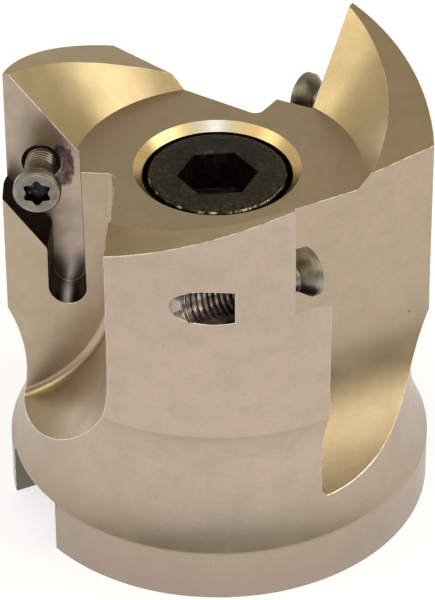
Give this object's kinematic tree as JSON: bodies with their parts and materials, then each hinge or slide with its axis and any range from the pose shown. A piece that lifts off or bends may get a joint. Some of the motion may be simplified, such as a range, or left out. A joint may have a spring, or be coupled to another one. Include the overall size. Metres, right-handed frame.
{
  "type": "face mill",
  "caption": "Shell-type face mill body with stepped insert pockets, gullets and a dished end, standing on its back face, with its insert screws and arbor screw.",
  "frame": {"origin": "centre of the back face, on the mill's axis", "axes": "+Z along the mill's axis, from the arbor side to the cutting end; the mill turns anticlockwise seen from +Z"},
  "size_m": [0.0504, 0.0504, 0.0543],
  "materials": {
    "plated_steel": "satin nickel plated, fine blasted grain, warm tone",
    "screw_steel": "grey hardened steel, slightly worn",
    "black_oxide": "black oxide with worn bright edges"
  },
  "bodies": {
    "mill": {"mill_body": "plated_steel"},
    "insert_screw_a": {"insert_screw_a": "screw_steel"},
    "insert_screw_b": {"insert_screw_b": "screw_steel"},
    "insert_screw_c": {"insert_screw_c": "screw_steel"},
    "arbor_screw": {"arbor_screw": "black_oxide"}
  },
  "joints": [
    {"name": "insert_screw_a_travel", "type": "slide", "parent": "mill", "child": "insert_screw_a", "axis": [-0.0384, -0.9993, 0], "range_m": [-0.0046, 0.0029]},
    {"name": "insert_screw_b_travel", "type": "slide", "parent": "mill", "child": "insert_screw_b", "axis": [-0.8462, 0.5329, 0], "range_m": [-0.0025, 0.005]},
    {"name": "insert_screw_c_travel", "type": "slide", "parent": "mill", "child": "insert_screw_c", "axis": [0.8846, 0.4664, 0], "range_m": [-0.0025, 0.005]},
    {"name": "arbor_screw_lift", "type": "slide", "parent": "mill", "child": "arbor_screw", "axis": [0, 0, 1], "range_m": [0, 0.042]}
  ]
}
